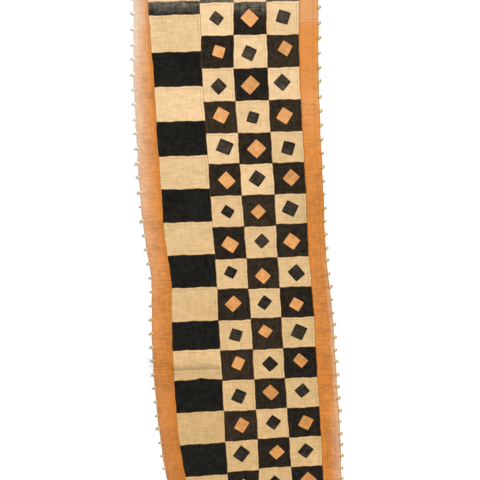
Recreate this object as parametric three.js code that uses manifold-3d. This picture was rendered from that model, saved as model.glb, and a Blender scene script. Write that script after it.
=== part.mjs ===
// A pieced raffia wrapper cloth, laid flat with its face up. Millimetres, +Z up, +Y along the cloth.
// Four pieced strips lie side by side between two plain borders: one of large blocks and three of
// squares. A small diamond is sewn on the middle of each square, and a bobble edging runs down
// each outer side. Every piece rests on the surface at z = 0.
import * as THREE from "three";
import { mergeVertices } from "three/addons/utils/BufferGeometryUtils.js";
import Module from "manifold-3d";

const wasm = await Module();
wasm.setup();

// The cloth as a whole
const LENGTH = 1922; // down the middle, from top hem to bottom hem
const GAP = 0.3; // between neighbouring pieces
const FIELD = 1.6; // one layer of cloth as it lies
const MIDDLE_X = 0.55; // the middle of the whole part, bobbles included, in the outline table's measure
const MIDDLE_Y = -7.03; // the slanting ends move the middle this far along

// Seams, hems and the crease
const SEAM_RISE = 1; // a seam stands this far above the field
const SEAM_REACH = 9; // from the seam to where its turned edge ends
const HEM_RISE = 0.8; // the borders' outer hem above the field
const HEM_WIDE = 17; // width of that hem
const HEM_STEP = 3; // the hem falls to the field over this width
const CREASE = { down: 1412, reach: 14, rise: 1.4 }; // one fold line across the block strip and left border
const END_HEMS = [
  { down: 0, reach: 12, rise: SEAM_RISE },
  { down: LENGTH, reach: 12, rise: SEAM_RISE },
];
const KNOTS = 24; // the outline is drawn with this many straight stretches
const CLOSEST = 3; // two cross-sections are never nearer than this

// The diamonds
const DIAMOND_THICK = 1;
const DIAMOND_BOW = 1.2; // how far a diamond's turned sides bow outwards

// The bobble edgings: a flat cord along the border with a knotted bobble at every pitch
const EDGING = {
  cordWide: 2.2,
  cordHigh: 1.6,
  rootWide: 3.6,
  rootHigh: 1.5,
  bodyWide: 9,
  bodyHigh: 7.5,
  tipWide: 3.4,
  tipHigh: 3,
  bodyOut: 5, // from the cord's outer edge to the widest part
  tipOut: 9,
};
// first: distance of the first bobble from the top hem. closing: how much nearer each further bobble comes.
const LEFT_BOBBLES = { first: 37, pitch: 52.7, closing: 0.09 };
const RIGHT_BOBBLES = { first: 40, pitch: 51.9, closing: 0.21 };
const PITCH_DRIFT = 1.2; // bobbles stray this far from even spacing
const LAST_BOBBLE = 20; // no bobble is nearer than this to the lower hem

// The outline and the long seams. down: distance from the top hem. lean: rise of the rows for each
// millimetre to the right. The rest are places across the cloth, from the left edge to the right.
const STATIONS = [
  { down: 0, lean: 0.03, left: -371, blocks: -322, a: -144, b: -24, c: 91, right: 206, edge: 272 },
  { down: 160, lean: 0.03, left: -371, blocks: -320, a: -139, b: -22, c: 92, right: 206, edge: 273 },
  { down: 360, lean: 0.03, left: -374, blocks: -304, a: -134, b: -22, c: 98, right: 209, edge: 275 },
  { down: 570, lean: 0.028, left: -366, blocks: -295, a: -120, b: -8, c: 108, right: 222, edge: 284 },
  { down: 790, lean: 0.03, left: -354, blocks: -280, a: -106, b: 6, c: 124, right: 236, edge: 297 },
  { down: 950, lean: 0.035, left: -338, blocks: -270, a: -95, b: 18, c: 131, right: 243, edge: 304 },
  { down: 1060, lean: 0.038, left: -319, blocks: -250, a: -86, b: 26, c: 138, right: 252, edge: 313 },
  { down: 1115, lean: 0.04, left: -316, blocks: -247, a: -83, b: 29, c: 143, right: 258, edge: 320 },
  { down: 1225, lean: 0.04, left: -319, blocks: -249, a: -79, b: 39, c: 149, right: 268, edge: 334 },
  { down: 1450, lean: 0.045, left: -312, blocks: -241, a: -66, b: 51, c: 163, right: 282, edge: 350 },
  { down: 1675, lean: 0.062, left: -291, blocks: -226, a: -55, b: 65, c: 180, right: 298, edge: 367 },
  { down: 1850, lean: 0.072, left: -264, blocks: -195, a: -43, b: 70, c: 192, right: 308, edge: 374 },
  { down: 1950, lean: 0.076, left: -248, blocks: -179, a: -36, b: 74, c: 199, right: 314, edge: 378 },
];

// Where each patch begins, in millimetres down from the top hem, in each pieced strip.
const SEAMS = {
  blocks: [0, 106, 152, 280, 400, 522, 644, 762, 880, 998, 1116, 1240, 1346, 1458, 1576, 1696, 1816],
  a: [0, 114, 228, 340, 456, 568, 676, 790, 902, 1018, 1126, 1242, 1352, 1464, 1580, 1692, 1808],
  b: [0, 116, 228, 344, 456, 570, 680, 790, 904, 1018, 1130, 1238, 1354, 1464, 1578, 1690, 1802],
  c: [0, 116, 232, 344, 456, 568, 678, 790, 898, 1018, 1128, 1240, 1352, 1466, 1580, 1692, 1806],
};

// Where the borders are pieced, down from the top hem.
const LEFT_JOINS = [1384];
const RIGHT_JOINS = [188, 862];

// The diamonds of each strip of squares, from the top row down. Each row: turn in degrees clockwise,
// width and height of the patch, then how far it sits right of and above the middle of its square.
const DIAMONDS = {
  a: [
    [34, 42, 40, 1, 0],
    [38, 40, 36, -2, 3],
    [18, 40, 38, 5, 1],
    [46, 44, 44, 1, -5],
    [28, 46, 46, 1, 7],
    [22, 52, 46, 6, 6],
    [46, 50, 44, 6, -2],
    [32, 40, 34, 2, -1],
    [32, 50, 44, 2, -5],
    [26, 38, 36, -4, 6],
    [45, 42, 48, -2, 3],
    [18, 42, 42, 1, 0],
    [24, 38, 44, 3, 6],
    [24, 44, 48, 0, -3],
    [30, 40, 48, 3, 2],
    [36, 44, 52, -3, 7],
    [40, 42, 44, 0, 0],
  ],
  b: [
    [42, 42, 42, 0, 1],
    [43, 50, 44, -1, 1],
    [25, 44, 44, -4, -5],
    [42, 46, 54, -3, -3],
    [16, 38, 38, -1, -3],
    [42, 50, 50, 5, -1],
    [34, 44, 46, 0, 3],
    [45, 38, 42, -3, -3],
    [45, 40, 40, 3, 4],
    [42, 44, 40, -1, -10],
    [36, 36, 44, -2, 2],
    [34, 40, 38, -6, 8],
    [44, 44, 44, 5, 0],
    [45, 46, 42, 1, 5],
    [36, 40, 44, 3, 4],
    [45, 40, 44, 10, 2],
    [42, 44, 44, -2, 0],
  ],
  c: [
    [30, 44, 42, 2, 2],
    [16, 44, 44, 2, 3],
    [30, 40, 42, 7, 10],
    [42, 46, 44, -6, 4],
    [32, 44, 46, -3, -1],
    [16, 42, 46, 3, -4],
    [40, 44, 46, 6, 2],
    [26, 48, 46, -2, 1],
    [36, 48, 44, -1, -4],
    [48, 48, 44, 7, -4],
    [30, 42, 38, -2, -8],
    [24, 46, 50, 2, 2],
    [40, 44, 38, 0, 8],
    [50, 40, 42, 0, 7],
    [26, 42, 46, 6, -2],
    [38, 42, 46, -1, 3],
    [42, 46, 48, 1, 5],
  ],
};

// Finishes
const cream = new THREE.Color(0xdcb782);
const black = new THREE.Color(0x23211e);
const brownBlack = new THREE.Color(0x31281e);
const orange = new THREE.Color(0xd08a4c);
const tan = new THREE.Color(0xdc9f66);
const bobbleGold = new THREE.Color(0x9a7a42);

// A finish of plant-fibre cloth in one colour, or in the colours of the mesh's own points.
function raffia(color) {
  const settings = color ? { color } : { vertexColors: true };
  return new THREE.MeshStandardMaterial({ ...settings, roughness: 0.88, metalness: 0 });
}

// A value of the outline table at any distance down the cloth, on a smooth curve through the table.
function onCurve(name, down) {
  const last = STATIONS.length - 1;
  const next = STATIONS.findIndex((station) => station.down > down);
  const to = next < 0 ? last : Math.max(next, 1);
  const [p, q] = [STATIONS[to - 1], STATIONS[to]];
  const before = STATIONS[Math.max(to - 2, 0)];
  const after = STATIONS[Math.min(to + 1, last)];
  const slopeAtP = (q[name] - before[name]) / (q.down - before.down);
  const slopeAtQ = (after[name] - p[name]) / (after.down - p.down);
  const reach = q.down - p.down;
  const t = (down - p.down) / reach;
  const rise = t * t * (3 - 2 * t);
  const bend = reach * t * (1 - t) * ((1 - t) * slopeAtP - t * slopeAtQ);
  return p[name] + (q[name] - p[name]) * rise + bend;
}

// The same value with the curve drawn as straight stretches, so neighbours share one line.
function onOutline(name, down) {
  const stretch = LENGTH / KNOTS;
  const index = Math.min(Math.floor(down / stretch), KNOTS - 1);
  const part = down / stretch - index;
  const from = onCurve(name, index * stretch);
  const to = onCurve(name, (index + 1) * stretch);
  return from + (to - from) * part;
}

// The point on the surface at a place across the cloth and a distance down it.
function spot(across, down, height) {
  const middle = (onOutline("left", down) + onOutline("edge", down)) / 2;
  const along = LENGTH / 2 - down + onOutline("lean", down) * (across - middle);
  return new THREE.Vector3(across - MIDDLE_X, along - MIDDLE_Y, height);
}

// How much a raised line adds to the height at a distance from its crest.
function ridge(distance, reach, rise) {
  return rise * Math.max(0, 1 - Math.abs(distance) / reach);
}

// The height of the cloth's face at a distance down it, with the raised lines that cross it.
function faceHeight(crests, down) {
  return FIELD + Math.max(0, ...crests.map((crest) => ridge(down - crest.down, crest.reach, crest.rise)));
}

// The raised lines where a strip is pieced.
function joinsAt(places) {
  return places.map((down) => ({ down, reach: SEAM_REACH, rise: SEAM_RISE }));
}

// The distances down the cloth at which a piece gets a cross-section: each raised line and both its
// feet, and the outline's knots where they aren't too near.
function sections(crests) {
  const lines = crests.flatMap(({ down, reach }) => [down - reach, down, down + reach]);
  const chosen = lines.filter((down) => down >= 0 && down <= LENGTH);
  for (let i = 0; i <= KNOTS; i++) {
    const knot = (i * LENGTH) / KNOTS;
    if (chosen.every((other) => Math.abs(other - knot) >= CLOSEST)) {
      chosen.push(knot);
    }
  }
  return chosen.sort((p, q) => p - q);
}

// A closed surface through rings of points, capped at both ends. Each ring runs anticlockwise as seen
// from ahead, and its flat shape is read along the across direction and z.
function loft(rings, across, tints) {
  const points = [];
  const colors = [];
  const add = (tint, ...corners) => {
    for (const corner of corners) {
      points.push(corner.x, corner.y, corner.z);
      colors.push(tint.r, tint.g, tint.b);
    }
  };
  const flat = (ring) => ring.map((point) => new THREE.Vector2(point.dot(across), point.z));
  const faces = THREE.ShapeUtils.triangulateShape(flat(rings[0]), []);
  const tintOf = (index) => (tints ? tints[index] : cream);
  const [first, last] = [rings[0], rings[rings.length - 1]];
  for (const [i, j, k] of faces) {
    add(tintOf(0), first[k], first[j], first[i]);
    add(tintOf(rings.length - 2), last[i], last[j], last[k]);
  }
  for (let n = 0; n + 1 < rings.length; n++) {
    const [ring, ahead] = [rings[n], rings[n + 1]];
    for (let i = 0; i < ring.length; i++) {
      const j = (i + 1) % ring.length;
      add(tintOf(n), ring[i], ring[j], ahead[j], ring[i], ahead[j], ahead[i]);
    }
  }
  const geometry = new THREE.BufferGeometry();
  geometry.setAttribute("position", new THREE.Float32BufferAttribute(points, 3));
  geometry.setAttribute("color", new THREE.Float32BufferAttribute(colors, 3));
  geometry.computeVertexNormals();
  return geometry;
}

// A mesh with its name and finish.
function named(name, geometry, material) {
  const mesh = new THREE.Mesh(geometry, material);
  mesh.name = name;
  return mesh;
}

// One pieced strip between two long seams, its joins raised and its patches in two turns of colour.
function piecedStrip(name, from, to, colours, folds) {
  const seams = SEAMS[from];
  const crests = [...joinsAt(seams.slice(1)), ...END_HEMS, ...folds];
  const places = sections(crests);
  const rings = places.map((down) => {
    const left = onOutline(from, down) + GAP / 2;
    const right = onOutline(to, down) - GAP / 2;
    const field = faceHeight(crests, down);
    const join = Math.max(FIELD + SEAM_RISE, field);
    return [
      spot(left, down, 0),
      spot(right, down, 0),
      spot(right, down, join),
      spot(right - SEAM_REACH, down, field),
      spot(left + SEAM_REACH, down, field),
      spot(left, down, join),
    ];
  });
  const tints = places.map((down) => colours[(seams.filter((seam) => seam <= down).length + 1) % 2]);
  return named(name, loft(rings, new THREE.Vector3(1, 0, 0), tints), raffia());
}

// One border strip, with a turned hem on its outer side and a raised join on its inner side.
function border(name, outer, inner, crests, side) {
  const rings = sections([...crests, ...END_HEMS]).map((down) => {
    const outside = onOutline(outer, down);
    const inside = onOutline(inner, down) - (side * GAP) / 2;
    const field = faceHeight([...crests, ...END_HEMS], down);
    const hem = Math.max(FIELD + HEM_RISE, field);
    const join = Math.max(FIELD + SEAM_RISE, field);
    const ring = [
      spot(outside, down, 0),
      spot(inside, down, 0),
      spot(inside, down, join),
      spot(inside - side * SEAM_REACH, down, field),
      spot(outside + side * (HEM_WIDE + HEM_STEP), down, field),
      spot(outside + side * HEM_WIDE, down, hem),
      spot(outside, down, hem),
    ];
    return side > 0 ? ring : ring.reverse();
  });
  return named(name, loft(rings, new THREE.Vector3(1, 0, 0)), raffia(orange));
}

// A geometry as a solid that can be joined to another.
function solid(geometry) {
  const bare = new THREE.BufferGeometry();
  bare.setAttribute("position", geometry.getAttribute("position"));
  const merged = mergeVertices(bare, 1e-4);
  const vertProperties = merged.getAttribute("position").array;
  const triVerts = new Uint32Array(merged.index.array);
  return new wasm.Manifold(new wasm.Mesh({ numProp: 3, vertProperties, triVerts }));
}

// A joined solid as a geometry again.
function geometryOf(joined) {
  const { vertProperties, triVerts } = joined.getMesh();
  const geometry = new THREE.BufferGeometry();
  geometry.setAttribute("position", new THREE.BufferAttribute(vertProperties, 3));
  geometry.setIndex(new THREE.BufferAttribute(triVerts, 1));
  return geometry;
}

// One knotted bobble that stands out from the edging's cord at a distance down the cloth.
function bobble(edge, side, down) {
  const { cordWide, rootWide, rootHigh, bodyWide, bodyHigh, tipWide, tipHigh, bodyOut, tipOut } = EDGING;
  const root = onOutline(edge, down) + side * (GAP + cordWide / 2);
  const stages = [
    { out: 0, wide: rootWide, high: rootHigh },
    { out: cordWide / 2 + bodyOut, wide: bodyWide, high: bodyHigh },
    { out: cordWide / 2 + tipOut, wide: tipWide, high: tipHigh },
  ];
  const rings = stages.map(({ out, wide, high }) => {
    const middle = spot(root + side * out, down, 0);
    const corner = (half, height) => middle.clone().add(new THREE.Vector3(0, side * half, height));
    return [corner(-wide / 2, 0), corner(wide / 2, 0), corner(wide / 2, high), corner(-wide / 2, high)];
  });
  return loft(rings, new THREE.Vector3(0, side, 0));
}

// The edging of one side: its narrow cord, with the bobbles joined to it.
function bobbleEdging(name, edge, side, { first, pitch, closing }) {
  const rings = sections([]).map((down) => {
    const near = onOutline(edge, down) + side * GAP;
    const far = near + side * EDGING.cordWide;
    const [left, right] = [Math.min(near, far), Math.max(near, far)];
    return [
      spot(left, down, 0),
      spot(right, down, 0),
      spot(right, down, EDGING.cordHigh),
      spot(left, down, EDGING.cordHigh),
    ];
  });
  let joined = solid(loft(rings, new THREE.Vector3(1, 0, 0)));
  let even = first;
  for (let i = 0; even < LENGTH - LAST_BOBBLE; i++) {
    const drift = PITCH_DRIFT * Math.sin(i * 2.4 + side);
    joined = joined.add(solid(bobble(edge, side, even + drift)));
    even += pitch - i * closing;
  }
  return named(name, geometryOf(joined), raffia(bobbleGold));
}

// One diamond: a small patch with slightly bowed sides, turned on the middle of its square.
function diamond(name, from, to, row, material) {
  const [turn, wide, high, right, up] = DIAMONDS[from][row];
  const seams = [...SEAMS[from], LENGTH];
  const down = (seams[row] + seams[row + 1]) / 2;
  const across = (onOutline(from, down) + onOutline(to, down)) / 2;
  const [x, y] = [wide / 2, high / 2];
  const outline = new THREE.Shape([
    new THREE.Vector2(-x, -y),
    new THREE.Vector2(0, -y - DIAMOND_BOW),
    new THREE.Vector2(x, -y),
    new THREE.Vector2(x + DIAMOND_BOW, 0),
    new THREE.Vector2(x, y),
    new THREE.Vector2(0, y + DIAMOND_BOW),
    new THREE.Vector2(-x, y),
    new THREE.Vector2(-x - DIAMOND_BOW, 0),
  ]);
  const geometry = new THREE.ExtrudeGeometry(outline, { depth: DIAMOND_THICK, bevelEnabled: false });
  const mesh = named(name, geometry, material);
  mesh.position.copy(spot(across, down, FIELD + GAP));
  mesh.position.x += right;
  mesh.position.y += up;
  mesh.rotation.z = THREE.MathUtils.degToRad(-turn);
  return mesh;
}

const cloth = new THREE.Group();

cloth.add(border("border_left", "left", "blocks", [...joinsAt(LEFT_JOINS), CREASE], 1));
cloth.add(border("border_right", "edge", "right", joinsAt(RIGHT_JOINS), -1));
cloth.add(bobbleEdging("bobbles_left", "left", -1, LEFT_BOBBLES));
cloth.add(bobbleEdging("bobbles_right", "edge", 1, RIGHT_BOBBLES));

cloth.add(piecedStrip("block_strip", "blocks", "a", [cream, black], [CREASE]));
const squareStrips = [
  { from: "a", to: "b", blackFirst: true },
  { from: "b", to: "c", blackFirst: false },
  { from: "c", to: "right", blackFirst: true },
];
const sewnOnCream = raffia(brownBlack);
const sewnOnBlack = raffia(tan);
squareStrips.forEach(({ from, to, blackFirst }, column) => {
  const colours = blackFirst ? [brownBlack, cream] : [cream, brownBlack];
  cloth.add(piecedStrip(`square_strip_${column + 1}`, from, to, colours, []));
  SEAMS[from].forEach((_, row) => {
    const onBlack = (row % 2 === 0) === blackFirst;
    const place = `diamond_${String(row + 1).padStart(2, "0")}_${from}`;
    cloth.add(diamond(place, from, to, row, onBlack ? sewnOnBlack : sewnOnCream));
  });
});

export default cloth;
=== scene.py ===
"""A pieced raffia wrapper cloth, laid flat: its patches, sewn-on diamonds, borders, bobbles and sewing.

The outlines, seams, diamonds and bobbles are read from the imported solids, so each piece of cloth lies
where its solid lies. Metres, +Z up, +Y along the cloth towards its top hem.
"""

import math
import random

import bpy
import numpy as np
from bpy.props import FloatProperty, FloatVectorProperty, IntProperty
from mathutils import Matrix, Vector, noise


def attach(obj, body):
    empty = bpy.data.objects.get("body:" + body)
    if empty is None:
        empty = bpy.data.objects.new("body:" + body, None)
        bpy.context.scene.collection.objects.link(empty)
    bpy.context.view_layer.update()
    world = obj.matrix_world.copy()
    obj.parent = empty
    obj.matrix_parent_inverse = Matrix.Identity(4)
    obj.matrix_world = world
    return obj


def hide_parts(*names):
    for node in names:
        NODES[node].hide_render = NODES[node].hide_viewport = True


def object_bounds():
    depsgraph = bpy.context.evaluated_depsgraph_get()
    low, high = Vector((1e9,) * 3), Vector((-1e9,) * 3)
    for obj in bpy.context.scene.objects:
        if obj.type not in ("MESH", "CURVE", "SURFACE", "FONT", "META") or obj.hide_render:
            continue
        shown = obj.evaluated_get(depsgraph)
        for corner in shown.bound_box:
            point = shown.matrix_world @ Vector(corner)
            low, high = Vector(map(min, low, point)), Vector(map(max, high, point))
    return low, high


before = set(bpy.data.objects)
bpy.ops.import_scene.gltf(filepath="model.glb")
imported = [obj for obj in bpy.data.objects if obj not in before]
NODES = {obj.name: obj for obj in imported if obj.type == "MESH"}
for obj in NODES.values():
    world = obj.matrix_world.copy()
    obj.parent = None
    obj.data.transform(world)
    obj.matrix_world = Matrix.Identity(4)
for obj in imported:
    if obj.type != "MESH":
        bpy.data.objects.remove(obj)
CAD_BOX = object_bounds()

bl_info = {
    "name": "Pieced raffia cloth",
    "version": (1, 0, 0),
    "blender": (4, 5, 0),
    "location": "3D View > Sidebar > Raffia",
    "description": "Dresses a pieced raffia wrapper cloth around its packed solids",
    "category": "Object",
}

MM = 0.001
STRIPS = (
    "border_left",
    "block_strip",
    "square_strip_1",
    "square_strip_2",
    "square_strip_3",
    "border_right",
)
BLOCKS = 1  # place of the block strip in STRIPS
SQUARES = (2, 3, 4)  # places of the square strips in STRIPS
BORDERS = (0, 5)  # places of the borders in STRIPS
JOIN_REACH = 4.4 * MM  # a join in a border is sewn down this far from its middle
DRAWN_IN, STRAY = 0.96, 1.0 * MM  # a diamond's corners are drawn in to this share, and stray this far
SEAM_HEIGHT = 2.6 * MM  # height of a raised seam in the solids
CREASE_HEIGHT = 3.0 * MM  # height of the fold line in the solids
BOBBLE_HEIGHT = 7.5 * MM  # height of a bobble in the solids
SAME = 0.03 * MM  # two heights closer than this are the same
SIDE_WINDOW = 60 * MM  # a strip's two sides are told apart within this distance along it
ROW_APART = 20 * MM  # points nearer than this along the cloth belong to one seam
BOBBLE_APART = 14 * MM  # points nearer than this along the edging belong to one bobble
INSET = 0.03 * MM  # half the slit between two neighbouring patches


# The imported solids


def node_points(name):
    """The distinct points of a solid."""
    mesh = NODES[name].data
    flat = np.empty(len(mesh.vertices) * 3)
    mesh.vertices.foreach_get("co", flat)
    return np.unique(np.round(flat.reshape(-1, 3), 6), axis=0)


def groups_along(points, apart):
    """Points in groups that lie close together along the cloth, from the top hem down."""
    groups = []
    for point in sorted(points, key=lambda p: -p[1]):
        if groups and groups[-1][0][1] - point[1] < apart:
            groups[-1].append(point)
        else:
            groups.append([point])
    return groups


class Side:
    """One long edge of a strip's solid: x at any y, with the corners between its stretches eased."""

    EASE = 34 * MM

    def __init__(self, points):
        points = sorted(points, key=lambda p: p[1])
        self.x = np.array([p[0] for p in points])
        self.y = np.array([p[1] for p in points])

    def __call__(self, y):
        y = np.clip(np.asarray(y, float), self.y[0], self.y[-1])
        reach = np.minimum(self.EASE, np.minimum(y - self.y[0], self.y[-1] - y))
        steps = np.linspace(-1, 1, 9)
        return sum(np.interp(y + step * reach, self.y, self.x) for step in steps) / len(steps)


def read_sides(name):
    """The left and right sides of a strip, from the points of its solid on the floor."""
    points = node_points(name)
    floor = points[points[:, 2] < SAME]
    sides = {True: [], False: []}
    for x, y, _ in floor:
        near = floor[np.abs(floor[:, 1] - y) < SIDE_WINDOW][:, 0]
        sides[bool(x < (near.min() + near.max()) / 2)].append((x, y))
    return Side(sides[True]), Side(sides[False])


def read_lines(name, height, sides):
    """The raised lines across a strip at one height, each as its two ends, from the top hem down."""
    points = node_points(name)
    level = points[np.abs(points[:, 2] - height) < SAME]
    inner = [p for p in level if all(abs(side(p[1]) - p[0]) > 2 * MM for side in sides)]
    rows = groups_along(inner, ROW_APART)
    return [(min(row, key=lambda p: p[0]), max(row, key=lambda p: p[0])) for row in rows]


def read_diamond(name):
    """The middle of a diamond and its four corners, anticlockwise."""
    points = node_points(name)
    top = points[points[:, 2] > points[:, 2].mean()][:, :2]
    middle = top.mean(0)
    away = np.linalg.norm(top - middle, axis=1)
    corners = top[np.argsort(away)[-4:]]
    turn = np.arctan2(*(corners - middle).T[::-1])
    return middle, corners[np.argsort(turn)]


def read_bobbles(name):
    """The middle of each bobble on an edging."""
    points = node_points(name)
    high = points[np.abs(points[:, 2] - BOBBLE_HEIGHT) < SAME]
    return [np.mean(group, axis=0) for group in groups_along(high, BOBBLE_APART)]


def wander(at, turn, waves):
    """The waver of hand sewing, between -1 and 1: a sum of waves, each its rate, start and height."""
    whole = sum(high for _, _, high in waves)
    return sum(high * np.sin(at * rate + start * turn) for rate, start, high in waves) / whole


class LongSeam:
    """A seam between two strips, or an outer edge: x at any y, with the waver of hand sewing."""

    WAVES = ((41, 1, 1), (97, 2.1, 0.7), (263, 1, 0.4))

    def __init__(self, sides, seed, waver):
        self.sides, self.seed, self.waver = sides, seed, waver

    def __call__(self, y):
        y = np.asarray(y, float)
        middle = sum(side(y) for side in self.sides) / len(self.sides)
        return middle + self.waver * wander(y, self.seed, self.WAVES)


class CrossSeam:
    """A seam or hem across a strip: y at any x, a straight line with the waver of hand sewing.

    peak is where along x the seam is pulled up, how high, and over what half width.
    """

    WAVES = ((62, 1, 1), (148, 2.3, 0.6), (330, 1, 0.3))
    TURN = 1.7  # from one seed to the next

    def __init__(self, ends, seed, waver, peak=(0, 0, 1)):
        (x0, y0, _), (x1, y1, _) = ends
        self.x0, self.y0 = x0, y0
        self.slope = (y1 - y0) / (x1 - x0)
        self.seed, self.waver, self.peak = seed, waver, peak

    def __call__(self, x):
        x = np.asarray(x, float)
        at, high, wide = self.peak
        bump = high * np.exp(-(np.abs(x - at) / wide) ** 1.3)
        waves = self.waver * wander(x, self.seed * self.TURN, self.WAVES)
        return self.y0 + self.slope * (x - self.x0) + waves + bump


class Layout:
    """Where the long seams, the cross seams, the ends and the fold line of the cloth run."""

    LONG_WAVER = 1.5 * MM
    CROSS_WAVER = 1.7 * MM
    PEAKED_ROW = 13  # the seam above this block is pulled up to a peak near its middle
    PEAK = (6 * MM, 7 * MM, 26 * MM)  # right of the seam's middle, height, half width

    def __init__(self):
        sides = [read_sides(name) for name in STRIPS]
        outer = [[sides[0][0]]] + [[a[1], b[0]] for a, b in zip(sides, sides[1:])] + [[sides[-1][1]]]
        self.long_seams = [LongSeam(pair, 1.3 * i, self.LONG_WAVER) for i, pair in enumerate(outer)]
        self.cross_seams = []
        for place, name in enumerate(STRIPS):
            lines = read_lines(name, SEAM_HEIGHT, sides[place])
            self.cross_seams.append([self.cross_seam(place, row, ends) for row, ends in enumerate(lines)])
        fold = read_lines(STRIPS[BLOCKS], CREASE_HEIGHT, sides[BLOCKS])[0]
        self.crease = CrossSeam(fold, 3, 0.8 * MM)

    def cross_seam(self, place, row, ends):
        """One cross seam; both hems of the cloth run on unbroken from strip to strip."""
        hem = row == 0 or ends[0][1] < 0.95 * self.lowest()
        seed = 0.4 if hem else place * 7.1 + row
        peak = (0, 0, 1)
        if place == BLOCKS and row == self.PEAKED_ROW:
            right, high, wide = self.PEAK
            peak = ((ends[0][0] + ends[1][0]) / 2 + right, high, wide)
        return CrossSeam(ends, seed, self.CROSS_WAVER, peak)

    @staticmethod
    def lowest():
        """The lower end of the cloth along y."""
        return CAD_BOX[0][1]

    def run_of_seam(self, number, margin, step):
        """Steps along a long seam or edge between the cloth's two ends, less a margin at both: their y."""
        seam, rows = self.long_seams[number], self.cross_seams[min(number, len(STRIPS) - 1)]
        low, top = [float(end(seam(end(0.0)))) for end in (rows[-1], rows[0])]
        return np.arange(low + margin, top - margin, step)

    def patches(self, place):
        """The patches of a pieced strip, from the top hem down."""
        rows = self.cross_seams[place]
        left, right = self.long_seams[place], self.long_seams[place + 1]
        return [Patch(left, right, top, low) for top, low in zip(rows, rows[1:])]

    def span_of_row(self, place, seam, margin):
        """Where a line across a strip begins and ends, less a margin at both: their x."""
        middle = float(seam(0))
        left, right = float(self.long_seams[place](middle)), float(self.long_seams[place + 1](middle))
        return left + margin, right - margin


class Patch:
    """A piece of cloth between two long seams and two cross seams.

    Places on it are given by distances from its left and top sides, each as a fixed part and a share of
    its whole width or length there.
    """

    SETTLED = 5  # rounds after which x and y, which depend on each other, have settled

    def __init__(self, left, right, top, low):
        self.left, self.right, self.top, self.low = left, right, top, low

    def place(self, across, down):
        """x, y, and the distances from the four sides, for a grid of places across and down."""
        fixed_x = np.tile(across[0], (len(down[0]), 1))
        share_x = np.tile(across[1], (len(down[0]), 1))
        fixed_y = np.tile(down[0][:, None], (1, len(across[0])))
        share_y = np.tile(down[1][:, None], (1, len(across[0])))
        y = np.full(fixed_x.shape, float(self.top(0) + self.low(0)) / 2)
        for _ in range(self.SETTLED):
            left, right = self.left(y) + INSET, self.right(y) - INSET
            x = left + fixed_x + share_x * (right - left)
            top, low = self.top(x) - INSET, self.low(x) + INSET
            y = top - fixed_y - share_y * (top - low)
        sides = (x - left, right - x, top - y, y - low)
        return x, y, sides

    def size(self):
        """The width and the length of the patch through its middle."""
        halfway = np.array([0.0]), np.array([0.5])
        _, _, sides = self.place(halfway, halfway)
        return (sides[0] + sides[1]).item(), (sides[2] + sides[3]).item()


def steps_between(first, last, whole, step):
    """Places from one side to the other: close together near each side, and a step apart between.

    first and last are the distances of the close ones from the two sides, both from the side inwards.
    """
    first, last = np.array(first), np.array(last)
    count = max(2, round((whole - first[-1] - last[-1]) / step))
    share = np.arange(1, count) / count
    fixed = np.concatenate([first, first[-1] * (1 - share) - last[-1] * share, -last[::-1]])
    return fixed, np.concatenate([first * 0, share, last * 0 + 1])


LAYOUT = Layout()


# Sizes and colours that a user would change


def measure(name, description, default):
    """A length setting."""
    return FloatProperty(name=name, description=description, default=default, unit="LENGTH")


def colour(name, description, default):
    """A colour setting."""
    kind = {"subtype": "COLOR", "size": 3, "min": 0, "max": 1}
    return FloatVectorProperty(name=name, description=description, default=default, **kind)


class RaffiaSizes(bpy.types.PropertyGroup):
    """Sizes of the cloth, its hems and its sewing."""

    layer: measure("Cloth thickness", "Thickness of one layer of the woven raffia", 0.95 * MM)
    hem_lift: measure("Hem lift", "How far a turned edge stands above the single layer", 0.75 * MM)
    hem_wide: measure("Hem width", "Width of the turned edge round each patch", 8.4 * MM)
    border_hem: measure("Border hem width", "Width of the turned outer edge of the borders", 17.5 * MM)
    unevenness: measure("Unevenness", "How far the cloth lifts off the floor in soft waves", 1.5 * MM)
    crease_high: measure("Crease height", "How far the cloth is lifted above its fold line", 6 * MM)
    grid: measure("Mesh spacing", "Distance between mesh lines in the level field of a patch", 5 * MM)
    weave: measure("Weave pitch", "Width of one strand of raffia in the weave", 1.1 * MM)
    thread: measure("Sewing strand radius", "Radius of the raffia strand used for sewing", 0.4 * MM)
    seam_spacing: measure("Seam stitches", "Distance between the overcast stitches of a seam", 3.6 * MM)
    hem_spacing: measure("Hem stitches", "Distance between the running stitches of a hem", 7 * MM)
    diamond_spacing: measure("Diamond stitches", "Distance between the stitches of a diamond", 4.4 * MM)
    bobble: measure("Bobble size", "Radius of a bobble's knot", 3.6 * MM)
    seed: IntProperty(name="Seed", description="Start of the random draws", default=7, min=0)


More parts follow.
